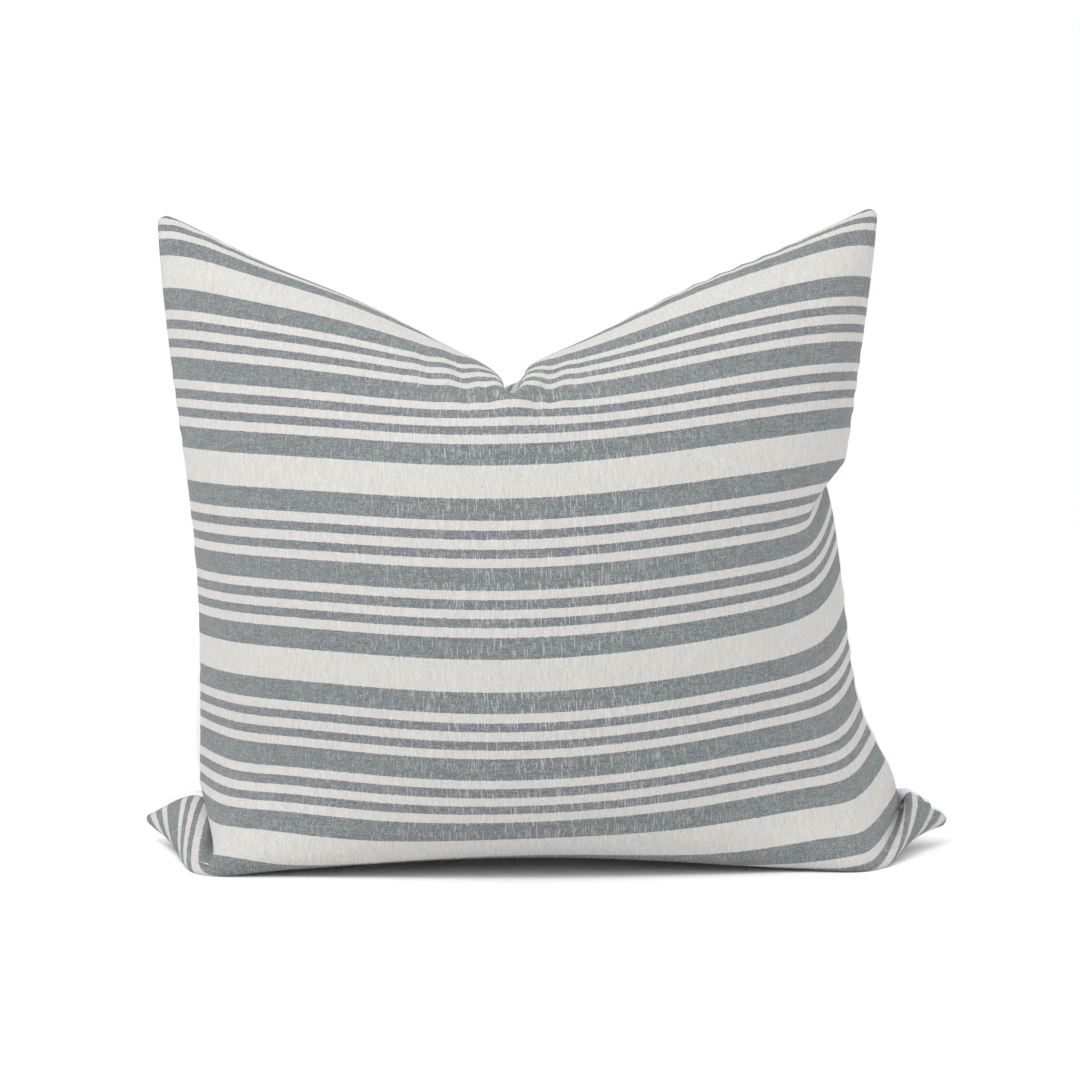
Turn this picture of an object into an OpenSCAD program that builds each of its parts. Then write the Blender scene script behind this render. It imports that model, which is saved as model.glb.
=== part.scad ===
// Throw pillow standing on its lower edge, with a dent pressed into its top edge.
// Units are millimetres. X is the width, the striped front faces -Y and Z is up.
// The origin is on the ground at the middle of the pillow's outline.

/* [Cover] */
// Height of the two upper corners above the ground
corner_height = 484; // [460:1:500]
// Height of the upper seam at the bottom of the dent
dent_height = 344; // [330:1:380]
// Distance between the two upper corners
corner_span = 526; // [500:1:550]
// Distance between the two side seams at the waist
waist_width = 464; // [440:1:480]
// Distance between the tips of the two lower corners
ear_span = 604; // [560:1:610]
// Thickness of the filled pillow at its belly
belly_thickness = 300; // [240:1:310]
// Depth of the flat patch that the pillow stands on
foot_depth = 184; // [160:1:200]
// How far the tips of the lower corners lie behind the seam line
ear_back = 42; // [0:1:60]
// Thickness of the cover cloth
cloth = 1.2; // [0.8:0.1:1.6]
// Width of the seam allowance turned to the inside
allowance = 9; // [6:0.5:10]

/* [Insert] */
// Distance from the cover's seams to the insert's seams
insert_inset = 15; // [14:0.5:20]
// Thickness of the insert's cotton cloth
insert_cloth = 0.8; // [0.6:0.1:1]

/* [Zip] */
// Half length of the zip in the lower seam
zip_half = 205; // [150:1:210]
// Height of the lower seam above the ground
seam_height = 7; // [6.5:0.1:8]
// Width of one zip tape
tape_width = 11; // [9:0.5:12]
// Height of the zip coil
coil_height = 2; // [1.6:0.1:2.2]
// Length of the slider
slider_length = 10; // [8:0.5:12]
// Length of the pull from its hinge to its tip
pull_length = 25; // [18:1:28]
// Width of the pull
pull_width = 5; // [4:0.2:6]

/* [Hidden] */

front = -1;
back = 1;
seam_gap = 1;
zip_gap = 1.4;
clear = 0.3;
foot_half = foot_depth / 2;
belly_half = belly_thickness / 2;

// Distances from the lower seam at which the rows under the pillow run
foot_rows = [0, 6, 10, 14, 20, 40, 66, foot_half];
groove_flat = 6;
groove_end = 20;
rise_rows = 20;

// Distance from the middle at which the ears start to lean back
ear_start = 222;
// Smallest distance of a lining from the seam plane
thin_gap = 0.6;
// How far the stitched seams run beyond each end of the zip
zip_margin = 12;

// Outline of the rows. Shares are of the height from the foot to the top seam.
foot_flare = 12;
ear_taper = 1.3;
ear_shrink = 3.6;
waist_share = 0.3;
corner_flare = 1.6;

// Profile of the rows: the turn above the foot and the fall towards the top seam
turn_share = 0.14;
shoulder_share = 0.4;
shoulder_power = 2.2;
shoulder_round = 0.8;
plump_power = 3.4;
plump_round = 0.62;

// Heights of the rows: the sides stand higher than the middle, more so near the top
side_foot_z = 18;
dent_shrink = 1.3;
corner_shrink = 1.2;
middle_power = 1.12;
foot_side_power = 6;
top_side_power = 0.82;
side_blend_power = 1.5;
ear_lean_share = 0.25;
last_row = len(foot_rows) - 1 + rise_rows;
last_column = 24;

// A layer of the pillow: inset of its seams, inset of its faces, lift of its
// foot, height of the groove over the zip and how much wider that groove is
cover_layer = [0, 0, 0, seam_height, 1];
insert_layer = [insert_inset, 4, 2.6, 17, 2.2];
filling_layer = [insert_inset + 7, 7, 5, 20, 3];

function ramp(x) = let (c = min(1, max(0, x))) c * c * (3 - 2 * c);
function mix(a, b, k) = a + (b - a) * k;
function across(j) = sin(mix(-90, 90, j / last_column));
function is_foot(i) = i < len(foot_rows);
function rise(i) = (i - len(foot_rows) + 1) / rise_rows;

// Half width of row i, which flares out to the ears below and to the corners above
function half_width(i, layer) =
    let (
        ear = max(0, (ear_span - waist_width) / 2 - foot_flare - ear_shrink * layer[0]),
        t = max(0, rise(i)),
        base = waist_width / 2 + foot_flare * pow(max(0, 1 - t / waist_share), 2),
        above = max(0, (t - waist_share) / (1 - waist_share))
    )
    is_foot(i)
        ? base + ear * pow(1 - foot_rows[i] / foot_half, ear_taper) - layer[0]
        : base + (corner_span - waist_width) / 2 * pow(above, corner_flare) - layer[0];

// Distance of row i from the seam plane, at the middle of the pillow
function row_depth(i, layer) =
    let (
        t = rise(i),
        full = belly_half - layer[1],
        foot = foot_half - layer[1],
        turn = mix(foot, full, 1 - pow(max(0, 1 - t / turn_share), 2)),
        above = max(0, (t - shoulder_share) / (1 - shoulder_share))
    )
    is_foot(i)
        ? foot_rows[i] * foot / foot_half
        : turn * pow(1 - pow(above, shoulder_power), shoulder_round);

// Plan shape of a row: full in the middle, nothing at the side seams
function plumpness(u) = pow(max(0, 1 - pow(abs(u), plump_power)), plump_round);

function groove(i, layer) =
    let (from = groove_flat * layer[4], to = groove_end * layer[4])
    mix(layer[3], layer[2], ramp((foot_rows[i] - from) / (to - from)));

// Height of the point at u on row i
function row_height(i, u, layer) =
    let (
        t = max(0, rise(i)),
        side = mix(seam_height + 1 + layer[2], side_foot_z, min(1, i / (len(foot_rows) - 1))),
        middle_z = is_foot(i) ? groove(i, layer)
            : mix(layer[2], dent_height - dent_shrink * layer[0], pow(t, middle_power)),
        side_z = mix(side, corner_height - corner_shrink * layer[0], t),
        foot_blend = pow(abs(u), foot_side_power),
        top_blend = pow(abs(u), top_side_power),
        blend = mix(foot_blend, top_blend, pow(t, side_blend_power))
    )
    mix(middle_z, side_z, blend);

// Distance of the seam plane from y = 0 on row i: the ears lean back
function seam_y(i, x) =
    ear_back * ramp((abs(x) - ear_start) / (ear_span / 2 - ear_start))
        * (is_foot(i) ? 1 : 1 - ramp(rise(i) / ear_lean_share));

function middle_point(i, u, layer) =
    let (x = u * half_width(i, layer))
    [x, seam_y(i, x), row_height(i, u, layer)];

function on_border(i, j) = i == 0 || i == last_row || j == 0 || j == last_column;

// Half of the gap between the two cloths at a border point
function half_gap(i, u, layer) =
    (i == 0 && abs(u * half_width(i, layer)) < zip_half + zip_margin ? zip_gap : seam_gap) / 2;

function skin_point(side, i, j, layer) =
    let (
        u = across(j),
        m = middle_point(i, u, layer),
        d = on_border(i, j) ? half_gap(i, u, layer)
            : max(seam_gap, row_depth(i, layer) * plumpness(u))
    )
    [m[0], m[1] + side * d, m[2]];

function skin(side, layer) =
    [for (i = [0 : last_row]) [for (j = [0 : last_column]) skin_point(side, i, j, layer)]];

// Inward direction of a grid of points at (i, j)
function inward(grid, side, i, j) =
    let (
        along_x = grid[i][j + 1] - grid[i][j - 1],
        along_z = grid[i + 1][j] - grid[i - 1][j],
        n = cross(along_x, along_z)
    )
    side * n / norm(n);

// Draws the x of a point near the side seam inward, by the full width at the seam
function drawn_in(x, w, width) =
    let (reach = 3 * width, from = w - reach)
    sign(x) * (min(abs(x), from) + max(0, abs(x) - from) * (reach - width) / reach);

// Inner end of the seam allowance at a border point
function turned_in(side, i, j, layer, width, cloth_t) =
    let (
        u = across(j),
        w = half_width(i, layer),
        m = middle_point(i, drawn_in(u * w, w, width) / w, layer),
        dz = i == 0 ? cloth_t : i == last_row ? -width : 0
    )
    [m[0], m[1] + side * half_gap(i, u, layer), m[2] + dz];

// Keeps a lining point on its own side of the seam plane
function own_side(p, side, i) =
    let (m = seam_y(i, p[0]))
    [p[0], m + side * max(thin_gap, side * (p[1] - m)), p[2]];

function lining(grid, side, layer, width, cloth_t) =
    [for (i = [0 : last_row]) [for (j = [0 : last_column])
        on_border(i, j)
            ? turned_in(side, i, j, layer, width, cloth_t)
            : own_side(grid[i][j] + cloth_t * inward(grid, side, i, j), side, i)]];

function flat_list(grid) = [for (row = grid) for (p = row) p];

// Triangles of a grid, numbered from start, wound one way or the other.
// Each cell is split along the diagonal that runs towards its own corner.
function grid_faces(start, flip) =
    let (n = last_column + 1)
    [for (i = [0 : last_row - 1]) for (j = [0 : last_column - 1]) for (half = [0, 1])
        let (
            a = start + i * n + j,
            b = a + 1,
            c = a + n + 1,
            d = a + n,
            same = (i < last_row / 2) == (j < last_column / 2),
            f = half == 0 ? [a, b, same ? c : d] : [same ? a : b, c, d]
        )
        flip ? [f[2], f[1], f[0]] : f];

// Grid numbers of the border points, in order round the panel
function border_ring() =
    let (n = last_column + 1)
    concat(
        [for (j = [0 : last_column - 1]) j],
        [for (i = [0 : last_row - 1]) i * n + last_column],
        [for (j = [last_column : -1 : 1]) last_row * n + j],
        [for (i = [last_row : -1 : 1]) i * n]
    );

function rim_faces(second, flip) =
    let (ring = border_ring(), n = len(ring))
    [for (k = [0 : n - 1]) for (half = [0, 1])
        let (
            a = ring[k],
            b = ring[(k + 1) % n],
            f = half == 0 ? [b, a, a + second] : [b, a + second, b + second]
        )
        flip ? [f[2], f[1], f[0]] : f];

module cloth_panel(side, layer, width, cloth_t) {
    outer = skin(side, layer);
    inner = lining(outer, side, layer, width, cloth_t);
    count = (last_row + 1) * (last_column + 1);
    flip = side == back;
    polyhedron(
        points = concat(flat_list(outer), flat_list(inner)),
        faces = concat(grid_faces(0, !flip), grid_faces(count, flip), rim_faces(count, !flip)),
        convexity = 6
    );
}

module stuffing(layer) {
    count = (last_row + 1) * (last_column + 1);
    polyhedron(
        points = concat(flat_list(skin(front, layer)), flat_list(skin(back, layer))),
        faces = concat(grid_faces(0, true), grid_faces(count, false), rim_faces(count, true)),
        convexity = 6
    );
}

// Sewing thread: a thin tube along a list of points
thread_r = 0.16;
thread_sides = 6;

module thread(path) {
    last = len(path) - 1;
    points = [for (k = [0 : last])
        let (
            t = path[min(last, k + 1)] - path[max(0, k - 1)],
            along = t / norm(t),
            a = cross(along, [0, 1, 0]),
            side_a = a / norm(a),
            side_b = cross(along, side_a)
        )
        for (q = [0 : thread_sides - 1])
            path[k] + thread_r * (cos(q * 360 / thread_sides) * side_a
                + sin(q * 360 / thread_sides) * side_b)];
    walls = [for (k = [0 : last - 1]) for (q = [0 : thread_sides - 1])
        let (r = (q + 1) % thread_sides, n = thread_sides)
        [(k + 1) * n + q, (k + 1) * n + r, k * n + r, k * n + q]];
    ends = [[for (q = [0 : thread_sides - 1]) q],
        [for (q = [thread_sides - 1 : -1 : 0]) last * thread_sides + q]];
    polyhedron(points = points, faces = concat(walls, ends), convexity = 4);
}

// Point of the sewing line, between the two turned-in edges
function sewn(i, j, layer, width, cloth_t) =
    let (
        rim = middle_point(i, across(j), layer),
        inner = turned_in(0, i, j, layer, width, cloth_t),
        share = i == 0 ? 0.5 : 0.35
    )
    mix(rim, inner, share);

function cover_sewn(i, j) = sewn(i, j, cover_layer, allowance, cloth);

module front_panel() {
    color([0.66, 0.69, 0.7]) cloth_panel(front, cover_layer, allowance, cloth);
}

module back_panel() {
    color([0.95, 0.95, 0.96]) cloth_panel(back, cover_layer, allowance, cloth);
}

module seam_thread_top() {
    color([0.9, 0.89, 0.85]) thread([for (j = [1 : last_column - 1]) cover_sewn(last_row, j)]);
}

module seam_thread_side(j) {
    color([0.9, 0.89, 0.85]) thread([for (i = [1 : last_row - 1]) cover_sewn(i, j)]);
}

module seam_thread_left() {
    seam_thread_side(0);
}

module seam_thread_right() {
    seam_thread_side(last_column);
}

// Stitched stretch of the lower seam between the zip and an ear
module seam_thread_bottom(end) {
    color([0.9, 0.89, 0.85])
        thread([for (j = [2 : last_column - 2])
            if (end * across(j) * half_width(0, cover_layer) > zip_half + zip_margin) cover_sewn(0, j)]);
}

module seam_thread_bottom_left() {
    seam_thread_bottom(-1);
}

module seam_thread_bottom_right() {
    seam_thread_bottom(1);
}

// The zip lies flat on the inside of the lower seam
tape_t = 0.6;
tape_z = seam_height + cloth + 0.6;
coil_z = tape_z + tape_t + 0.05;
coil_width = 2.4;
coil_y = zip_gap / 2;
stop_length = 3;

module zip_tape(side) {
    color([0.93, 0.93, 0.92])
        translate([-zip_half, side == front ? -coil_y - tape_width : coil_y, tape_z])
            cube([2 * zip_half, tape_width, tape_t]);
}

module zip_tape_front() {
    zip_tape(front);
}

module zip_tape_back() {
    zip_tape(back);
}

// One coil, drawn as the rounded bar that its turns fill
module zip_coil(side) {
    round_r = 0.5;
    color([0.88, 0.88, 0.87])
        translate([-zip_half + stop_length + 1, side * (coil_y + coil_width / 2), coil_z + coil_height / 2])
            rotate([90, 0, 90])
                linear_extrude(2 * (zip_half - stop_length - 1))
                    offset(r = round_r, $fn = 24)
                        square([coil_width - 2 * round_r, coil_height - 2 * round_r], center = true);
}

module zip_coil_front() {
    zip_coil(front);
}

module zip_coil_back() {
    zip_coil(back);
}

module zip_thread(side) {
    color([0.9, 0.89, 0.85])
        translate([-zip_half + 1, side * (coil_y + tape_width - 3), tape_z + tape_t + thread_r + 0.02])
            rotate([0, 90, 0])
                cylinder(r = thread_r, h = 2 * zip_half - 2, $fn = 16);
}

module zip_thread_front() {
    zip_thread(front);
}

module zip_thread_back() {
    zip_thread(back);
}

// Clamped stop at the closed end of one coil
module zip_top_stop(side) {
    color([0.8, 0.8, 0.8])
        translate([zip_half - stop_length, side == front ? -coil_y - coil_width : coil_y, coil_z])
            cube([stop_length, coil_width, coil_height]);
}

module zip_top_stop_front() {
    zip_top_stop(front);
}

module zip_top_stop_back() {
    zip_top_stop(back);
}

// Stop at the open end, which joins both tapes
module zip_bottom_stop() {
    color([0.8, 0.8, 0.8])
        translate([-zip_half, -coil_y - coil_width, coil_z])
            cube([stop_length, 2 * (coil_y + coil_width), coil_height]);
}

// The slider rests closed, next to the top stops
slider_x = zip_half - stop_length - slider_length / 2 - 2;
plate_t = 1.4;
plate_z = coil_z + coil_height + clear;
cheek_t = 1;
cheek_y = coil_y + coil_width + clear;
neck_t = 0.7;
hinge_z = 3.4;
hinge_r = 0.7;
hinge_half = 2.1;
eye_r = 1.5;
eye_bore = hinge_r + 0.06;
pull_t = 1;
web_x = 3.2;

module zip_slider() {
    color([0.78, 0.78, 0.8])
        translate([slider_x, 0, 0]) {
            translate([-slider_length / 2, -cheek_y - cheek_t, plate_z])
                cube([slider_length, 2 * (cheek_y + cheek_t), plate_t]);
            for (side = [front, back])
                translate([-slider_length / 2, side * (cheek_y + cheek_t / 2) - cheek_t / 2, coil_z + clear])
                    cube([slider_length, cheek_t, plate_z - coil_z]);
            translate([-slider_length / 2 + 1, -neck_t / 2, seam_height - 1.5])
                cube([slider_length - 2, neck_t, plate_z - seam_height + 2]);
            translate([0, neck_t / 2, hinge_z])
                rotate([90, 0, 0])
                    linear_extrude(neck_t)
                        union() {
                            circle(r = 1.4, $fn = 32);
                            translate([-1.4, 0])
                                square([2.8, seam_height - 1 - hinge_z]);
                        }
            translate([0, hinge_half, hinge_z])
                rotate([90, 0, 0])
                    cylinder(r = hinge_r, h = 2 * hinge_half, $fn = 32);
        }
}

// The pull: two eyes round the slider's pin, a web and a flat tongue
module zip_pull() {
    fork_in = neck_t / 2 + 0.25;
    color([0.78, 0.78, 0.8])
        translate([slider_x, 0, hinge_z])
            difference() {
                union() {
                    for (side = [front, back])
                        translate([0, side == front ? -fork_in : hinge_half, 0]) {
                            rotate([90, 0, 0])
                                cylinder(r = eye_r, h = hinge_half - fork_in, $fn = 32);
                            translate([0, fork_in - hinge_half, -pull_t / 2])
                                cube([web_x + 0.5, hinge_half - fork_in, pull_t]);
                        }
                    translate([web_x, -pull_width / 2, -pull_t / 2])
                        cube([pull_length - pull_width / 2 - web_x, pull_width, pull_t]);
                    translate([pull_length - pull_width / 2, 0, -pull_t / 2])
                        cylinder(d = pull_width, h = pull_t, $fn = 48);
                }
                translate([0, hinge_half + 1, 0])
                    rotate([90, 0, 0])
                        cylinder(r = eye_bore, h = 2 * hinge_half + 2, $fn = 32);
            }
}

insert_allowance = 5;

module insert_front() {
    color([0.96, 0.95, 0.92]) cloth_panel(front, insert_layer, insert_allowance, insert_cloth);
}

module insert_back() {
    color([0.96, 0.95, 0.92]) cloth_panel(back, insert_layer, insert_allowance, insert_cloth);
}

// Thread that sews the insert shut along its upper seam
module insert_thread() {
    color([0.98, 0.98, 0.96])
        thread([for (j = [1 : last_column - 1])
            sewn(last_row, j, insert_layer, insert_allowance, insert_cloth)]);
}

module filling() {
    color([1, 1, 1]) stuffing(filling_layer);
}

front_panel();
back_panel();
seam_thread_top();
seam_thread_left();
seam_thread_right();
seam_thread_bottom_left();
seam_thread_bottom_right();
zip_tape_front();
zip_tape_back();
zip_coil_front();
zip_coil_back();
zip_thread_front();
zip_thread_back();
zip_top_stop_front();
zip_top_stop_back();
zip_bottom_stop();
zip_slider();
zip_pull();
insert_front();
insert_back();
insert_thread();
filling();
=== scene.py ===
"""Throw pillow, standing: a striped linen front and a plain white back, sewn round a filled insert.

The cover, 610 x 540 mm when flat, is simulated here as cloth: two flat panels joined at their edges
are filled to a volume, a hand comes down on the top seam, and other hands set the corners.
Everything inside it (insert, filling, seams) is built from that simulated cover.
"""

import bpy
import numpy as np
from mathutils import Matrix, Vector


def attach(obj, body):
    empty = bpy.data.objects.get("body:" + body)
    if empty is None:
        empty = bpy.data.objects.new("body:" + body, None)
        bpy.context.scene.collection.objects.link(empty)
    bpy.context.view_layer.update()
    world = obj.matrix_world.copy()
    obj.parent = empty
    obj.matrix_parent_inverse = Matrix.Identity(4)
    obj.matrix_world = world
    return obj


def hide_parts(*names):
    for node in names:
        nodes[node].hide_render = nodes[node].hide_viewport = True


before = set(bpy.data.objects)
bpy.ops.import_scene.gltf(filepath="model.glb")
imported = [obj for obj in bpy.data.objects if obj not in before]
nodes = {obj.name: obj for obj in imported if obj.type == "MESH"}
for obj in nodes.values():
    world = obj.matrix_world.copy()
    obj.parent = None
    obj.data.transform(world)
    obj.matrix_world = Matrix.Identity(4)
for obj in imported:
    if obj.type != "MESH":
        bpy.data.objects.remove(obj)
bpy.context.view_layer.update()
scene = bpy.context.scene

# ---------------------------------------------------------------- sizes, in metres
COVER_W, COVER_H = 0.610, 0.540
FRONT, BACK = 0, 1
CLOTH = 0.0006           # thickness of the linen
ALLOWANCE = 0.009        # cloth turned in at the seams
SEAM_DEPTH = 0.0015      # of the stitches, below the edge where the two cloths meet
CORNER_R = 0.010         # the corners are sewn round
MESH_STEP = 0.003
PUCKER, PUCKER_HEIGHT = 0.021, 0.0009   # small waves of the cloth beside the seams
LEAN = -0.006            # the pillow leans sideways, in metres per metre of height
ZIP_HALF, ZIP_Z = 0.226, 0.007          # half the length of the zip's place in the seam; its height
SLIT_HALF, SLIT = 0.218, 0.0007         # half the length and half the width of the gap for the zip
INNER_STEP = 0.006
INSERT_INSET, INSERT_DEPTH, INSERT_LIFT = 0.015, 0.004, 0.0165
INSERT_CLOTH, INSERT_TURNED = 0.0004, 0.005
FILL_INSET, FILL_DEPTH, FILL_LIFT = 0.022, 0.007, 0.020
THREAD_R = 0.00016       # of the sewing thread

# ---------------------------------------------------------------- cloth simulation
LEVELS = ((0.016, 2600), (0.008, 700), (0.005, 450))
VOLUME = 0.0403          # of the filled cover, in cubic metres
PUSH = 1.2e-4            # full pressure's move per step, at the first level's spacing
HEAD, HEAD_Z = 0.6, 0.46                # share of the pressure that grows towards the ground, from here
WEIGHT = 0.05            # pull of the ground on each point, as a share of full pressure
FIRST_PRESSURE, MOST_PRESSURE = 0.3, 1.5
GAIN, DAMPING = 20.0, 0.9               # pressure for the volume that is short; speed kept per step
SQUEEZE, SHEAR, BEND = 0.6, 0.12, 0.03  # how much of an error in each is taken out per step
SEAM_TAKE = 0.01         # the sewn edges are this much shorter than the cloth
EAR_REACH = 0.05         # the pressure fades within this of a corner
CORNER_CAP = 0.2         # distances from a corner are counted up to here
CHOP_START, CHOP_Z, CHOP_X = 0.56, 0.347, -0.004        # the hand that makes the dent comes down
CHOP_R, CHOP_SLOPE = 0.010, 0.26        # the round of its edge, and how it widens above
GRIP = 0.5               # of the ground, sideways
UPRIGHT, SEAM_BACK, SEAM_Z = 0.02, 0.005, 0.45          # how the top seam is kept above the foot
GAP = 0.0012             # between the two cloths where they touch
ARCH, ARCH_HALF, ARCH_EDGE = 0.012, 0.21, 0.008         # hollow under the middle of the foot
NOISE = 0.02             # of each finer level's start, as a share of its spacing
ZIP_LEVEL, ZIP_HOLD = 0.006, 0.2        # the cloth is level this far from the zip
FREE = np.nan            # a hand leaves this coordinate alone
BOTH, FRONT_ONLY, BACK_ONLY = [FRONT, BACK], [FRONT], [BACK]
# each hand: cloths that it holds, u and v on the cover, where it takes that point, reach, strength
HANDS = (
    # tips of the two ears, and the side seams above them
    (BOTH, -0.305, 0.000, (-0.290, 0.085, 0.016), 0.05, 0.05),
    (BOTH, 0.305, 0.000, (0.330, 0.070, 0.013), 0.05, 0.05),
    (BOTH, -0.305, 0.055, (-0.243, 0.050, 0.045), 0.03, 0.05),
    (BOTH, 0.305, 0.055, (0.298, 0.055, 0.045), 0.03, 0.05),
    (BOTH, -0.305, 0.150, (-0.239, 0.040, FREE), 0.04, 0.05),
    (BOTH, 0.305, 0.100, (0.288, 0.055, FREE), 0.03, 0.05),
    # front and back corners of the foot
    (FRONT_ONLY, -0.245, 0.060, (-0.240, -0.060, 0.0), 0.035, 0.05),
    (FRONT_ONLY, 0.250, 0.060, (0.264, -0.060, 0.0), 0.035, 0.05),
    (BACK_ONLY, -0.240, 0.060, (-0.225, 0.100, 0.0), 0.035, 0.04),
    (BACK_ONLY, 0.245, 0.060, (0.245, 0.100, 0.0), 0.035, 0.04),
    # right side seam
    (BOTH, 0.305, 0.147, (0.262, 0.050, FREE), 0.04, 0.05),
    (BOTH, 0.305, 0.275, (0.237, 0.030, 0.248), 0.035, 0.04),
    # top seam: corners, shoulders, and the left flank of the dent
    (BOTH, -0.305, 0.540, (-0.263, 0.022, 0.475), 0.06, 0.05),
    (BOTH, 0.305, 0.540, (0.268, 0.022, 0.480), 0.06, 0.05),
    (BOTH, -0.165, 0.540, (FREE, FREE, 0.417), 0.07, 0.04),
    (BOTH, 0.165, 0.540, (FREE, FREE, 0.424), 0.07, 0.04),
    (BOTH, -0.045, 0.540, (FREE, FREE, 0.357), 0.025, 0.04),
)


def ramp(x):
    x = np.clip(x, 0, 1)
    return x * x * (3 - 2 * x)


def spaced(length, cell, start):
    return np.linspace(start, start + length, int(round(length / cell)) + 1)


def face_vectors(X):
    """Area vector of the cloth round each point, out of the pillow."""
    du, dv = np.empty_like(X), np.empty_like(X)
    du[:, :, 1:-1] = (X[:, :, 2:] - X[:, :, :-2]) / 2
    du[:, :, 0], du[:, :, -1] = X[:, :, 1] - X[:, :, 0], X[:, :, -1] - X[:, :, -2]
    dv[:, 1:-1] = (X[:, 2:] - X[:, :-2]) / 2
    dv[:, 0], dv[:, -1] = X[:, 1] - X[:, 0], X[:, -1] - X[:, -2]
    n = np.cross(du, dv)
    n[BACK] *= -1
    return n


def pull(A, B, rest, stretch, squeeze):
    """Moves the point pairs A and B towards their rest distance."""
    d = B - A
    length = np.sqrt((d * d).sum(-1)) + 1e-12
    e = (length - rest) / length
    c = d * (np.where(e > 0, stretch, squeeze) * e / 2)[..., None]
    A += c
    B -= c


def paired(X, i, j):
    """Views of X that pair each point with the one i rows and j columns on, in two passes."""
    whole, but_last, but_first = slice(None), slice(None, -1), slice(1, None)
    for o in (0, 1):
        every, every_to = slice(o, -1, 2), slice(o + 1, None, 2)
        rows, rows_to = (every, every_to) if i else (whole, whole)
        if j == 0:
            cols, cols_to = whole, whole
        elif i == 0:
            cols, cols_to = every, every_to
        else:
            cols, cols_to = (but_last, but_first) if j > 0 else (but_first, but_last)
        A, B = X[:, rows, cols], X[:, rows_to, cols_to]
        n, m = min(A.shape[1], B.shape[1]), min(A.shape[2], B.shape[2])
        yield A[:, :n, :m], B[:, :n, :m]


def hold_weave(X, hu, hv):
    """One pass of the cloth's threads, bias and stiffness. The seams are a little short."""
    along_u = np.full((1, X.shape[1], 1), hu)
    along_v = np.full((1, 1, X.shape[2]), hv)
    along_u[0, (0, -1), 0] *= 1 - SEAM_TAKE
    along_v[0, 0, (0, -1)] *= 1 - SEAM_TAKE
    for A, B in paired(X, 0, 1):
        pull(A, B, along_u, 1.0, SQUEEZE)
    for A, B in paired(X, 1, 0):
        pull(A, B, along_v, 1.0, SQUEEZE)
    for lean in (1, -1):
        for A, B in paired(X, 1, lean):
            pull(A, B, np.hypot(hu, hv), SHEAR, SHEAR)
    D = np.zeros_like(X)
    for rest, lo, hi in (
            (2 * hu, np.s_[:, :, :-2], np.s_[:, :, 2:]),
            (2 * hv, np.s_[:, :-2], np.s_[:, 2:])):
        d = X[hi] - X[lo]
        length = np.sqrt((d * d).sum(-1)) + 1e-12
        c = d * (BEND / 2 * (length - rest) / length)[..., None]
        D[lo] += c
        D[hi] -= c
    X += D


def weld(X):
    """Keeps the two cloths joined at their edges."""
    for s in (np.s_[0], np.s_[-1], np.s_[:, 0], np.s_[:, -1]):
        X[FRONT][s] = X[BACK][s] = (X[FRONT][s] + X[BACK][s]) / 2


def sample(F, us, vs, u, v):
    """Catmull-Rom values of the grid F [rows, columns, k] at the points u, v."""
    def taps(t, x):
        i = np.clip(((t - x[0]) / (x[1] - x[0])).astype(int), 0, len(x) - 2)
        f = (t - x[i]) / (x[1] - x[0])
        w = ((-f + 2 * f**2 - f**3) / 2, (2 - 5 * f**2 + 3 * f**3) / 2,
             (f + 4 * f**2 - 3 * f**3) / 2, (f**3 - f**2) / 2)
        # past an edge, a straight line on through the last two points
        low, high = (i == 0) * w[0], (i == len(x) - 2) * w[3]
        w = [w[0] - low, w[1] + 2 * low - high, w[2] - low + 2 * high, w[3] - high]
        return [(np.clip(i + k - 1, 0, len(x) - 1), w[k]) for k in range(4)]
    out = 0
    for j, wj in taps(v, vs):
        for i, wi in taps(u, us):
            out = out + F[j, i] * (wi * wj)[..., None]
    return out


def chop(X, z):
    """Keeps the cloth out of the edge of a hand, whose lowest point is at z."""
    dx, dz = X[..., 0] - CHOP_X, X[..., 2] - (z + CHOP_R)
    far = np.maximum(np.hypot(dx, dz), 1e-6)
    out = np.where((dz < 0) & (far < CHOP_R), CHOP_R / far - 1, 0)
    wide = CHOP_R + np.clip(dz, 0, None) * CHOP_SLOPE
    side = np.where((dz >= 0) & (np.abs(dx) < wide), wide - np.abs(dx), 0) / (1 + CHOP_SLOPE**2)
    X[..., 0] += dx * out + side * np.sign(dx + 1e-9)
    X[..., 2] += dz * out - side * CHOP_SLOPE


def keep_apart(X, inner):
    """Keeps the front cloth in front of the back cloth."""
    near = inner & (X[FRONT, ..., 1] - X[BACK, ..., 1] > -GAP)
    mid = (X[FRONT, ..., 1] + X[BACK, ..., 1])[near] / 2
    X[FRONT, ..., 1][near], X[BACK, ..., 1][near] = mid - GAP / 2, mid + GAP / 2


def use_hands(X, us, vs, U, V):
    for sides, u, v, to, reach, strength in HANDS:
        at = X[sides, np.argmin(abs(vs - v)), np.argmin(abs(us - u))].mean(0)
        w = strength * np.exp(-((U - u) ** 2 + (V - v) ** 2) / reach**2)
        X[sides] += w[..., None] * np.nan_to_num(np.array(to) - at)


def stand(X, old):
    """Keeps the cloth on the ground, which grips it and arches under the middle of the foot."""
    arch = ARCH * np.clip(1 - (X[..., 0] / ARCH_HALF) ** 2, 0, 1)
    ground = arch * ramp(np.abs(X[..., 1]) / ARCH_EDGE)
    under = X[..., 2] < ground
    X[..., 2][under] = ground[under]
    X[..., :2][under] += (old[..., :2][under] - X[..., :2][under]) * GRIP


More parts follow.
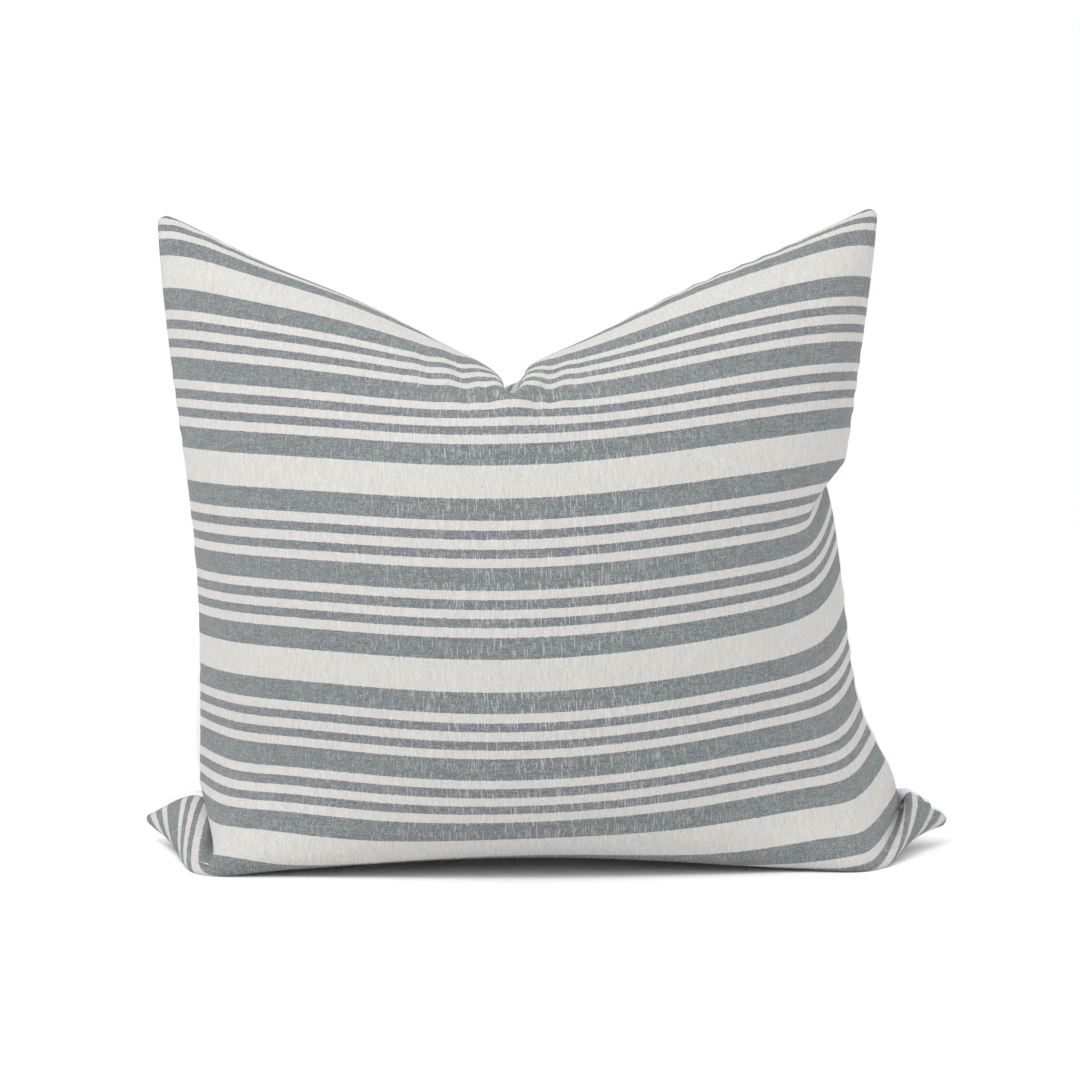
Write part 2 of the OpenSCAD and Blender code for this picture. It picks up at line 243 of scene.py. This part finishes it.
def hold_zip(X, us, vs, cell):
    """Keeps the zip's stretch of the lower seam straight, and the cloth beside it level."""
    zipped = np.abs(us) < ZIP_HALF
    X[:, 0, zipped, 1] *= 1 - ZIP_HOLD
    X[:, 0, zipped, 2] += ZIP_HOLD * (ZIP_Z - X[:, 0, zipped, 2])
    row = int(round(ZIP_LEVEL / cell))
    if row:
        for s, out in ((FRONT, -1), (BACK, 1)):
            X[s, row, zipped, 1] += ZIP_HOLD * (out * vs[row] - X[s, row, zipped, 1])
            X[s, row, zipped, 2] += ZIP_HOLD * (ZIP_Z - X[s, row, zipped, 2])


def simulate_cover():
    """The two cloths, as a grid of points [side, row, column], and the grid's u and v."""
    rng = np.random.default_rng(7)
    X = us = vs = None
    pressure = FIRST_PRESSURE
    for level, (cell, steps) in enumerate(LEVELS):
        first = level == 0
        u2, v2 = spaced(COVER_W, cell, -COVER_W / 2), spaced(COVER_H, cell, 0.0)
        U, V = np.meshgrid(u2, v2)
        if first:
            b = 0.02 * (1 - (2 * U / COVER_W) ** 2) * (1 - (2 * V / COVER_H - 1) ** 2)
            X = np.stack([np.stack([U, s * b, V + 0.004], -1) for s in (-1, 1)])
        else:
            X = np.stack([sample(X[s], us, vs, U, V) for s in (FRONT, BACK)])
            X[:, 1:-1, 1:-1] += rng.normal(0, NOISE * cell, X[:, 1:-1, 1:-1].shape)
        us, vs = u2, v2
        hu, hv = us[1] - us[0], vs[1] - vs[0]
        push = PUSH * hu / LEVELS[0][0]
        from_side = np.minimum(COVER_W / 2 - np.abs(U), CORNER_CAP)
        from_end = np.minimum(np.minimum(V, COVER_H - V), CORNER_CAP)
        full = ramp(np.hypot(from_side, from_end) / EAR_REACH)
        inner = np.zeros(X.shape[1:3], bool)
        inner[1:-1, 1:-1] = True
        speed = np.zeros_like(X)
        for step in range(steps):
            # the filling presses outward, towards the volume that it should have
            N = face_vectors(X)
            goal = VOLUME * (min(1.0, 0.25 + step / (0.35 * steps)) if first else 1.0)
            short = GAIN * (goal - (X * N).sum() / 3) / VOLUME
            pressure += 0.2 * (np.clip(short, 0, MOST_PRESSURE) - pressure)
            head = np.clip(1 - X[..., 2] / HEAD_Z, 0, 1.2)
            F = N / (hu * hv) * (pressure * (1 - HEAD + HEAD * 2 * head) * full)[..., None] * push
            F[..., 2] -= WEIGHT * push
            speed = (speed + F) * DAMPING
            old = X.copy()
            X = X + speed
            # the cloth, the hands, the ground and the zip hold it
            hold_weave(X, hu, hv)
            weld(X)
            keep_apart(X, inner)
            down = np.clip((step / steps - 0.15) / 0.7, 0, 1) if first else 1.0
            chop(X, CHOP_START + (CHOP_Z - CHOP_START) * down)
            if not first or step > steps / 2:
                use_hands(X, us, vs, U, V)
            stand(X, old)
            hold_zip(X, us, vs, cell)
            X[..., 1] -= UPRIGHT * (X[:, -1, :, 1].mean() - SEAM_BACK) * X[..., 2] / SEAM_Z
            speed = X - old
    X[..., 0] += LEAN * X[..., 2]
    return X, us, vs


# ---------------------------------------------------------------- meshes from the cover
def unit(a):
    return a / np.maximum(np.linalg.norm(a, axis=-1, keepdims=True), 1e-12)


def pattern(inset, step):
    """Places of a panel's points on the flat cloth, with round corners: u, v, distance from the seam."""
    w, h = COVER_W / 2 - inset, COVER_H / 2 - inset
    u, v = np.meshgrid(spaced(2 * w, step, -w), spaced(2 * h, step, -h))
    r = CORNER_R + inset * 0.6
    a, b = np.clip(1 - (w - np.abs(u)) / r, 0, 1), np.clip(1 - (h - np.abs(v)) / r, 0, 1)
    edge = np.minimum(w - np.abs(u), h - np.abs(v))
    round_u = u - np.sign(u) * r * a * (1 - np.sqrt(1 - b * b / 2))
    round_v = v - np.sign(v) * r * b * (1 - np.sqrt(1 - a * a / 2))
    return round_u, round_v + COVER_H / 2, edge


def groove(P, height, flat, end):
    """Lifts points over the zip: level for |y| below flat, down to nothing at end."""
    side = 1 - ramp((np.abs(P[..., 0]) - ZIP_HALF) / 0.02)
    z = height * side * (1 - ramp((np.abs(P[..., 1]) - flat) / (end - flat)))
    P[..., 2] = np.where(P[..., 2] < height, np.maximum(P[..., 2], z), P[..., 2])
    return P


def grid_faces(n, m, start, flip):
    """Faces of a grid of n by m points, numbered from start."""
    i = np.arange(n * m).reshape(n, m) + start
    f = np.stack([i[:-1, :-1], i[:-1, 1:], i[1:, 1:], i[1:, :-1]], -1).reshape(-1, 4)
    return f[:, ::-1] if flip else f


def border(n, m):
    """Grid numbers round the edge, in order."""
    i = np.arange(n * m).reshape(n, m)
    return np.concatenate([i[0, :-1], i[:-1, -1], i[-1, :0:-1], i[:0:-1, 0]])


def strip_faces(a, b, flip):
    """Faces between two rings of point numbers."""
    f = np.stack([a, np.roll(a, -1), np.roll(b, -1), b], -1)
    return f if flip else f[:, ::-1]


def make(name, points, faces, material, fabric=None):
    """A smooth mesh object. The points' places on the flat cloth go with them, for its material."""
    mesh = bpy.data.meshes.new(name)
    mesh.from_pydata(np.asarray(points).tolist(), [], [list(map(int, f)) for f in faces])
    mesh.update()
    mesh.polygons.foreach_set("use_smooth", [True] * len(mesh.polygons))
    if fabric is not None:
        layer = mesh.attributes.new("fabric", "FLOAT_VECTOR", "POINT")
        layer.data.foreach_set("vector", np.asarray(fabric, np.float32).ravel())
    obj = bpy.data.objects.new(name, mesh)
    scene.collection.objects.link(obj)
    mesh.materials.append(material)
    return obj


def seam_ways(skins, side=FRONT):
    """Round the seam: point numbers, the line, the way in between the cloths, the way to this side."""
    n, m = skins.shape[1:3]
    middle = skins.mean(0)
    ring = border(n, m)
    deep = n // 12
    rows = np.clip(ring // m, deep, n - 1 - deep)
    cols = np.clip(ring % m, deep, m - 1 - deep)
    line = middle.reshape(-1, 3)[ring]
    return ring, line, unit(middle[rows, cols] - line), unit(skins[side] - middle)[rows, cols]


def cloth_piece(name, side, skins, uv, thickness, turned, material):
    """One panel as closed cloth: outer face, edge turned in along the seam, inner face."""
    n, m = skins.shape[1:3]
    outer = skins[side].reshape(-1, 3)
    normal = unit(face_vectors(skins)[side].reshape(-1, 3))
    inner = outer - normal * thickness
    ring, line, way, own = seam_ways(skins, side)
    way = way * turned
    inner[ring] = outer[ring] + 0.12 * way + own * thickness
    tip = outer[ring] + way + own * thickness * 0.3
    tip_in = outer[ring] + way + own * thickness * 1.2
    for part in (inner, tip, tip_in):
        part[:, 2] = np.maximum(part[:, 2], thickness / 2)
    start = 2 * n * m
    a, b = start + np.arange(len(ring)), start + len(ring) + np.arange(len(ring))
    flip = side == BACK
    faces = np.concatenate([
        grid_faces(n, m, 0, flip), grid_faces(n, m, n * m, not flip),
        strip_faces(ring, a, flip), strip_faces(a, b, flip), strip_faces(b, ring + n * m, flip)])
    fabric = np.stack([uv[0], uv[1], np.zeros_like(uv[0])], -1).reshape(-1, 3)
    return make(name, np.concatenate([outer, inner, tip, tip_in]), faces, material,
                np.concatenate([fabric, fabric, fabric[ring], fabric[ring]]))


def cover_skins(cover, us, vs):
    """The cover's outer faces: a rolled edge at the seam, puckers beside it, a slit for the zip."""
    u, v, edge = pattern(0.0, MESH_STEP)
    skins = np.stack([sample(cover[s], us, vs, u, v) for s in (FRONT, BACK)])
    skins = groove(skins, ZIP_Z, 0.006, 0.020)
    normal = unit(face_vectors(skins))
    along = np.where(COVER_W / 2 - np.abs(u) < np.minimum(v, COVER_H - v), v, u)
    wave = np.sin(2 * np.pi * along / PUCKER + 2.5 * np.sin(along * 31) + 1.7 * np.sin(along * 13))
    wave = wave * (0.5 + 0.5 * np.sin(along * 47 + 2 * np.sin(along * 19)))
    pucker = PUCKER_HEIGHT * wave * ramp(edge / 0.006) * np.exp(-edge / 0.014)
    skins += normal * (0.0008 * ramp(edge / 0.004) - 0.0002 + pucker * (v > 0.05))[..., None]
    skins[..., 2] = np.maximum(skins[..., 2], 0.0)
    slit = SLIT * (1 - ramp((np.abs(skins[..., 0]) - SLIT_HALF) / 0.006))
    slit = slit * (edge < 1e-6) * (v < COVER_H / 4)
    skins[FRONT, ..., 1] -= slit[FRONT]
    skins[BACK, ..., 1] += slit[BACK]
    return skins, (u, v)


def inner_skins(cover, us, vs, inset, depth, lift, step):
    """Faces of something inside the cover: inset at its seam, its faces depth inside the cover's."""
    u, v, edge = pattern(inset, step)
    skins = np.stack([sample(cover[s], us, vs, u, v) for s in (FRONT, BACK)])
    skins -= unit(face_vectors(skins)) * depth
    middle = skins.mean(0)
    skins = middle + (skins - middle) * np.sqrt(np.clip(edge / 0.03, 0, 1))[..., None]
    skins[..., 2] = np.maximum(skins[..., 2], depth)
    return groove(skins, lift, 0.014, 0.045), (u, v)


def tube(name, path, radius, material, sides=6):
    """A round thread along the points of path."""
    path = np.asarray(path)
    along = unit(np.gradient(path, axis=0))
    a = unit(np.cross(along, (0.3, 1, 0.2)))
    b = np.cross(along, a)
    t = np.arange(sides) * 2 * np.pi / sides
    ring = np.cos(t)[None, :, None] * a[:, None] + np.sin(t)[None, :, None] * b[:, None]
    points = path[:, None] + radius * ring
    n = len(path)
    i = np.arange(n * sides).reshape(n, sides)
    nxt = np.roll(i, -1, axis=1)
    walls = np.stack([i[:-1], nxt[:-1], nxt[1:], i[1:]], -1).reshape(-1, 4)
    faces = [*walls, i[0, ::-1], i[-1]]
    return make(name, points.reshape(-1, 3), faces, material)


def stitches(line, inward, pitch=0.003, height=0.00025):
    """A row of lock stitches along a line: the thread dips into the cloth once a stitch."""
    gaps = np.linalg.norm(np.diff(line, axis=0), axis=1)
    s = np.concatenate([[0], np.cumsum(gaps)])
    t = np.arange(0, s[-1], pitch / 6)
    points = np.stack([np.interp(t, s, line[:, k]) for k in range(3)], -1)
    way = np.stack([np.interp(t, s, inward[:, k]) for k in range(3)], -1)
    return points + way * (height * np.sin(2 * np.pi * t / pitch))[:, None]


# ---------------------------------------------------------------- materials
class Nodes:
    """Short names for building a node tree."""

    def __init__(self, name):
        self.material = bpy.data.materials.new(name)
        self.material.use_nodes = True
        self.tree = self.material.node_tree
        self.shader = self.tree.nodes["Principled BSDF"]

    def node(self, kind, inputs=(), **settings):
        made = self.tree.nodes.new("ShaderNode" + kind)
        for key, value in settings.items():
            setattr(made, key, value)
        for key, value in dict(inputs).items():
            self.put(made.inputs[key], value)
        return made

    def put(self, socket, value):
        if isinstance(value, bpy.types.NodeSocket):
            self.tree.links.new(value, socket)
        else:
            socket.default_value = value

    def math(self, operation, a, b=0.0):
        return self.node("Math", {0: a, 1: b}, operation=operation).outputs[0]

    def mix(self, factor, a, b):
        return self.node("Mix", {0: factor, 6: a, 7: b}, data_type="RGBA").outputs[2]

    def noise(self, vector, scale, detail=2.0, rough=0.5):
        inputs = {"Vector": vector, "Scale": scale, "Detail": detail, "Roughness": rough}
        return self.node("TexNoise", inputs).outputs[0]

    def joined(self, x, y):
        return self.node("CombineXYZ", {0: x, 1: y}).outputs[0]

    def random(self, x, y):
        place = self.joined(x, y)
        return self.node("TexWhiteNoise", {"Vector": place}, noise_dimensions="2D").outputs[0]

    def stretched(self, vector, x, y, z=1.0):
        return self.node("VectorMath", {0: vector, 1: (x, y, z)}, operation="MULTIPLY").outputs[0]

    def between(self, value, low, high, to_low=0.0, to_high=1.0):
        inputs = {0: value, 1: low, 2: high, 3: to_low, 4: to_high}
        return self.node("MapRange", inputs).outputs[0]

    def fabric(self):
        """A point's place on the flat cloth."""
        return self.node("Attribute", attribute_name="fabric").outputs["Vector"]

    def place(self):
        return self.node("TexCoord").outputs["Object"]

    def parts(self, vector):
        return self.node("SeparateXYZ", {0: vector}).outputs

    def set(self, **sockets):
        for key, value in sockets.items():
            self.put(self.shader.inputs[key.replace("_", " ")], value)

    def bump(self, height, distance, strength=1.0):
        inputs = {"Height": height, "Distance": distance, "Strength": strength}
        self.set(Normal=self.node("Bump", inputs).outputs[0])


# stripes down from the top edge of a wide cream one, in units: cream and grey in turn
STRIPES = (3.5, 2.4, 1, 1, 1, 1, 1, 2.4, 1, 1, 1, 1, 1, 2.4)
REPEAT = 0.1318
FIRST_CREAM = 0.0308     # from the top seam down to the first wide cream stripe
TOP_CROWDING = 1.24      # the stripes above that one are narrower by this much
THREAD = 0.00062         # pitch of the yarns
SAW = 0.0005             # how far the edge of a stripe strays from one warp thread to the next
CREAM_LOW, CREAM_HIGH = (0.500, 0.490, 0.462, 1), (0.700, 0.690, 0.665, 1)
GREY_LOW, GREY_HIGH = (0.120, 0.136, 0.142, 1), (0.262, 0.285, 0.292, 1)
PALE = (0.610, 0.620, 0.615, 1)
DARK_FLECK, WHITE = (0.200, 0.190, 0.175, 1), (0.86, 0.86, 0.85, 1)


def weave(n, fabric):
    """Plain weave: a point's warp thread, the cloth's height there, and the shades of its yarns."""
    split = n.parts(fabric)
    wander = n.between(n.noise(n.stretched(fabric, 25, 25), 1.0, 2), 0.0, 1.0, -0.0008, 0.0008)
    u = n.math("DIVIDE", n.math("ADD", split["X"], wander), THREAD)
    v = n.math("DIVIDE", n.math("ADD", split["Y"], wander), THREAD)
    iu, iv = n.math("FLOOR", u), n.math("FLOOR", v)
    su = n.math("ABSOLUTE", n.math("SINE", n.math("MULTIPLY", u, np.pi)))
    sv = n.math("ABSOLUTE", n.math("SINE", n.math("MULTIPLY", v, np.pi)))
    over = n.math("FLOORED_MODULO", n.math("ADD", iu, iv), 2.0)
    height = n.node("Mix", {0: over, 2: sv, 3: su}).outputs[0]
    knot = n.random(iu, iv)
    warp = n.noise(n.joined(n.math("MULTIPLY", iu, 7.3), n.math("MULTIPLY", v, 0.06)), 1.0, 1)
    weft = n.noise(n.joined(n.math("MULTIPLY", u, 0.05), n.math("MULTIPLY", iv, 7.3)), 1.0, 1)
    return iu, height, knot, warp, weft


def crumple(n, fabric):
    """Small unevenness of a washed cloth."""
    return n.math("MULTIPLY", n.noise(n.stretched(fabric, 60, 60), 1.0, 4, 0.6), 3.0)


def striped_linen():
    n = Nodes("striped_linen")
    fabric = n.fabric()
    warp_thread, height, knot, warp, weft = weave(n, fabric)
    split = n.parts(fabric)
    # how far down from the first wide cream stripe, then the place in the repeat
    stray = n.math("MULTIPLY", n.math("SUBTRACT", n.random(warp_thread, 0.0), 0.5), SAW)
    down = n.math("SUBTRACT", COVER_H - FIRST_CREAM, n.math("ADD", split["Y"], stray))
    crowded = n.math("MULTIPLY", n.math("MINIMUM", down, 0.0), TOP_CROWDING)
    down = n.math("ADD", n.math("MAXIMUM", down, 0.0), crowded)
    place = n.math("FRACT", n.math("ADD", n.math("DIVIDE", down, REPEAT), 4.0))
    stripe = n.node("ValToRGB", {0: place})
    bands = stripe.color_ramp
    bands.interpolation = "CONSTANT"
    total, at = sum(STRIPES), 0.0
    for k, width in enumerate(STRIPES):
        stop = bands.elements[k] if k < 2 else bands.elements.new(at / total)
        stop.position = at / total
        stop.color = (k % 2,) * 3 + (1,)
        at += width
    # the grey: salt and pepper, with pale warp threads showing through, most of all near the middle
    middle = n.between(n.math("ABSOLUTE", split["X"]), 0.02, 0.16, 1.0, 0.35)
    coarse = n.math("MULTIPLY", n.between(weft, 0.3, 0.7), 0.45)
    grey = n.mix(n.math("ADD", n.math("MULTIPLY", knot, 0.55), coarse), GREY_LOW, GREY_HIGH)
    pale_warp = n.math("MULTIPLY", n.between(warp, 0.56, 0.68), n.math("MULTIPLY", middle, 0.55))
    pale_knot = n.math("MULTIPLY", n.between(knot, 0.86, 0.94), 0.30)
    grey = n.mix(n.math("MAXIMUM", pale_warp, pale_knot), grey, PALE)
    streak = n.math("MULTIPLY", n.between(warp, 0.3, 0.7), 0.5)
    cream = n.mix(n.math("ADD", streak, n.math("MULTIPLY", knot, 0.5)), CREAM_LOW, CREAM_HIGH)
    # dark flecks on the cream, and white ones everywhere
    seed = n.noise(n.stretched(fabric, 420, 900), 1.0, 0)
    cream = n.mix(n.between(seed, 0.83, 0.86, 0.0, 0.7), cream, DARK_FLECK)
    colour = n.mix(stripe.outputs[0], cream, grey)
    n.set(Base_Color=n.mix(n.between(seed, 0.150, 0.125, 0.0, 0.8), colour, WHITE),
          Roughness=0.92, Sheen_Weight=0.12, Sheen_Roughness=0.5, Specular_IOR_Level=0.15)
    thick = n.math("ADD", n.between(warp, 0.6, 0.8), n.between(weft, 0.6, 0.8))
    yarns = n.math("ADD", height, n.math("MULTIPLY", thick, 0.7))
    n.bump(n.math("ADD", yarns, crumple(n, fabric)), 0.00035, 0.6)
    return n.material


def plain_cloth(name, dark, light):
    n = Nodes(name)
    fabric = n.fabric()
    _, height, knot, warp, weft = weave(n, fabric)
    yarns = n.math("MULTIPLY", n.math("ADD", warp, weft), 0.3)
    shade = n.math("ADD", n.math("MULTIPLY", knot, 0.4), yarns)
    n.set(Base_Color=n.mix(shade, dark, light),
          Roughness=0.9, Sheen_Weight=0.12, Specular_IOR_Level=0.15)
    n.bump(n.math("ADD", height, crumple(n, fabric)), 0.00030, 0.5)
    return n.material


def thread_like(name, dark, light):
    n = Nodes(name)
    ply = n.noise(n.place(), 2600, 2)
    n.set(Base_Color=n.mix(n.between(ply, 0.3, 0.7), dark, light), Roughness=0.7, Sheen_Weight=0.3)
    n.bump(ply, 0.0001, 0.6)
    return n.material


def twill_tape():
    n = Nodes("zip_tape_twill")
    place = n.place()
    split = n.parts(place)
    slanted = n.math("ADD", split["X"], n.math("MULTIPLY", split["Y"], 1.2))
    rib = n.math("SINE", n.math("MULTIPLY", slanted, 7000))
    relief = n.math("ADD", rib, n.noise(place, 900, 3))
    tone = n.between(relief, -0.6, 1.6)
    n.set(Base_Color=n.mix(tone, (0.62, 0.62, 0.60, 1), (0.82, 0.82, 0.80, 1)),
          Roughness=0.85, Sheen_Weight=0.2)
    n.bump(relief, 0.00012, 0.7)
    return n.material


def nylon():
    n = Nodes("zip_nylon")
    cloud = n.noise(n.place(), 350, 2)
    n.set(Base_Color=n.mix(cloud, (0.66, 0.66, 0.65, 1), (0.80, 0.80, 0.78, 1)),
          Roughness=n.between(cloud, 0.2, 0.8, 0.30, 0.45))
    n.bump(cloud, 0.00005, 0.4)
    return n.material


def plated():
    n = Nodes("zip_nickel")
    place = n.place()
    brushed = n.noise(n.stretched(place, 300, 5000, 5000), 1.0, 3)
    wear = n.noise(place, 500, 4)
    worn = n.between(wear, 0.4, 0.7)
    n.set(Base_Color=n.mix(worn, (0.55, 0.55, 0.56, 1), (0.72, 0.72, 0.73, 1)), Metallic=1.0,
          Roughness=n.between(n.math("ADD", brushed, wear), 0.6, 1.4, 0.22, 0.42))
    n.bump(brushed, 0.00004, 0.5)
    return n.material


def fibre():
    n = Nodes("loose_fibre")
    strands = n.noise(n.stretched(n.place(), 90, 400, 90), 1.0, 8, 0.75)
    n.set(Base_Color=n.mix(strands, (0.74, 0.74, 0.73, 1), (0.94, 0.94, 0.93, 1)),
          Roughness=1.0, Sheen_Weight=0.6)
    n.bump(strands, 0.003, 1.0)
    return n.material


# ---------------------------------------------------------------- the pillow
linen = striped_linen()
white = plain_cloth("white_cloth", (0.70, 0.70, 0.74, 1), (0.86, 0.86, 0.90, 1))
cotton = plain_cloth("insert_cotton", (0.74, 0.73, 0.70, 1), (0.88, 0.87, 0.84, 1))
cotton_thread = thread_like("sewing_thread", (0.66, 0.64, 0.58, 1), (0.80, 0.78, 0.72, 1))


def stand_for(piece, node, slot):
    """The piece takes the place of a CAD node of the cushion."""
    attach(piece, "cushion")
    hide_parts(node)


cover, cover_us, cover_vs = simulate_cover()
skins, uv = cover_skins(cover, cover_us, cover_vs)
for side, name, node, material, slot in (
        (FRONT, "cover_front", "front_panel", linen, "striped_linen"),
        (BACK, "cover_back", "back_panel", white, "white_linen")):
    panel = cloth_piece(name, side, skins, uv, CLOTH, ALLOWANCE, material)
    stand_for(panel, node, slot)

insert, insert_uv = inner_skins(
    cover, cover_us, cover_vs, INSERT_INSET, INSERT_DEPTH, INSERT_LIFT, INNER_STEP)
for side, name, node in (
        (FRONT, "inner_front", "insert_front"),
        (BACK, "inner_back", "insert_back")):
    piece = cloth_piece(name, side, insert, insert_uv, INSERT_CLOTH, INSERT_TURNED, cotton)
    stand_for(piece, node, "cotton")

stuffing, _ = inner_skins(cover, cover_us, cover_vs, FILL_INSET, FILL_DEPTH, FILL_LIFT, INNER_STEP)
n, m = stuffing.shape[1:3]
faces = np.concatenate([
    grid_faces(n, m, 0, False), grid_faces(n, m, n * m, True),
    strip_faces(border(n, m), border(n, m) + n * m, False)])
filling = make("fibre_filling", stuffing.reshape(-1, 3), faces, fibre())
stand_for(filling, "filling", "fibre")

# the stitches: four parts of the cover's seam, in the order of border(), and the insert's seam
n, m = skins.shape[1:3]
_, seam, way, _ = seam_ways(skins)
line = seam + way * SEAM_DEPTH
bottom, right = np.arange(0, m), np.arange(m - 1, m + n - 1)
top = np.arange(m + n - 2, 2 * m + n - 2)
left = np.concatenate([np.arange(2 * m + n - 3, len(line)), [0]])
open_half = ZIP_HALF - 0.005
for name, node, part in (
        ("stitch_top", "seam_thread_top", top), ("stitch_left", "seam_thread_left", left),
        ("stitch_right", "seam_thread_right", right),
        ("stitch_foot_left", "seam_thread_bottom_left", bottom[line[bottom, 0] < -open_half]),
        ("stitch_foot_right", "seam_thread_bottom_right", bottom[line[bottom, 0] > open_half])):
    thread = tube(name, stitches(line[part], way[part]), THREAD_R, cotton_thread)
    stand_for(thread, node, "thread")

_, seam, way, _ = seam_ways(insert)
line = seam + way * SEAM_DEPTH
thread = tube("stitch_insert", stitches(line, way), THREAD_R, cotton_thread)
stand_for(thread, "insert_thread", "thread")

# ---------------------------------------------------------------- the zip
tape, coil, metal = twill_tape(), nylon(), plated()
for name, material in (
        ("zip_tape_front", tape), ("zip_tape_back", tape),
        ("zip_coil_front", coil), ("zip_coil_back", coil),
        ("zip_thread_front", cotton_thread), ("zip_thread_back", cotton_thread),
        ("zip_top_stop_front", metal), ("zip_top_stop_back", metal), ("zip_bottom_stop", metal),
        ("zip_slider", metal), ("zip_pull", metal)):
    nodes[name].data.materials.clear()
    nodes[name].data.materials.append(material)

# ---------------------------------------------------------------- floor, light, camera
def studio_floor():
    n = Nodes("studio_floor")
    cloud = n.noise(n.place(), 3.0, 2)
    n.set(Base_Color=n.mix(cloud, (0.985, 0.985, 0.985, 1), (0.995, 0.995, 0.995, 1)), Roughness=0.95)
    return n.material


floor = make("floor", [(-8, -8, 0), (8, -8, 0), (8, 8, 0), (-8, 8, 0)], [(0, 1, 2, 3)], studio_floor())

world = bpy.data.worlds.new("studio")
world.use_nodes = True
world.node_tree.nodes["Background"].inputs["Color"].default_value = (1, 1, 1, 1)
world.node_tree.nodes["Background"].inputs["Strength"].default_value = 1.0
scene.world = world


def soft_light(name, place, target, size, power):
    lamp = bpy.data.lights.new(name, "AREA")
    lamp.size, lamp.energy = size, power
    obj = bpy.data.objects.new(name, lamp)
    obj.location = place
    obj.rotation_euler = (Vector(target) - Vector(place)).to_track_quat("-Z", "Y").to_euler()
    scene.collection.objects.link(obj)


soft_light("key_light", (-0.9, -1.3, 2.5), (0, 0, 0.25), 1.2, 34)
soft_light("fill_light", (1.6, -1.4, 0.9), (0, 0, 0.25), 1.4, 1)

PIXELS, SENSOR = 1080, 36.0
AZIMUTH, ELEVATION, DISTANCE = np.radians(0.7), np.radians(2.4), 2.0
FOCAL, CENTRE_X, CENTRE_Y = 2723.0, 519.0, 531.5        # in widths of a pixel
AIM = Vector((0, 0, 0.24))
camera_data = bpy.data.cameras.new("camera")
camera = bpy.data.objects.new("camera", camera_data)
scene.collection.objects.link(camera)
scene.camera = camera
camera_data.sensor_width = SENSOR
camera_data.lens = SENSOR * FOCAL / PIXELS
camera_data.shift_x = (PIXELS / 2 - CENTRE_X) / PIXELS
camera_data.shift_y = (CENTRE_Y - PIXELS / 2) / PIXELS
level = np.cos(ELEVATION)
ahead = Vector((np.sin(AZIMUTH) * level, np.cos(AZIMUTH) * level, -np.sin(ELEVATION)))
camera.location = AIM - ahead * DISTANCE
camera.rotation_euler = ahead.to_track_quat("-Z", "Y").to_euler()
scene.view_settings.view_transform = "Standard"
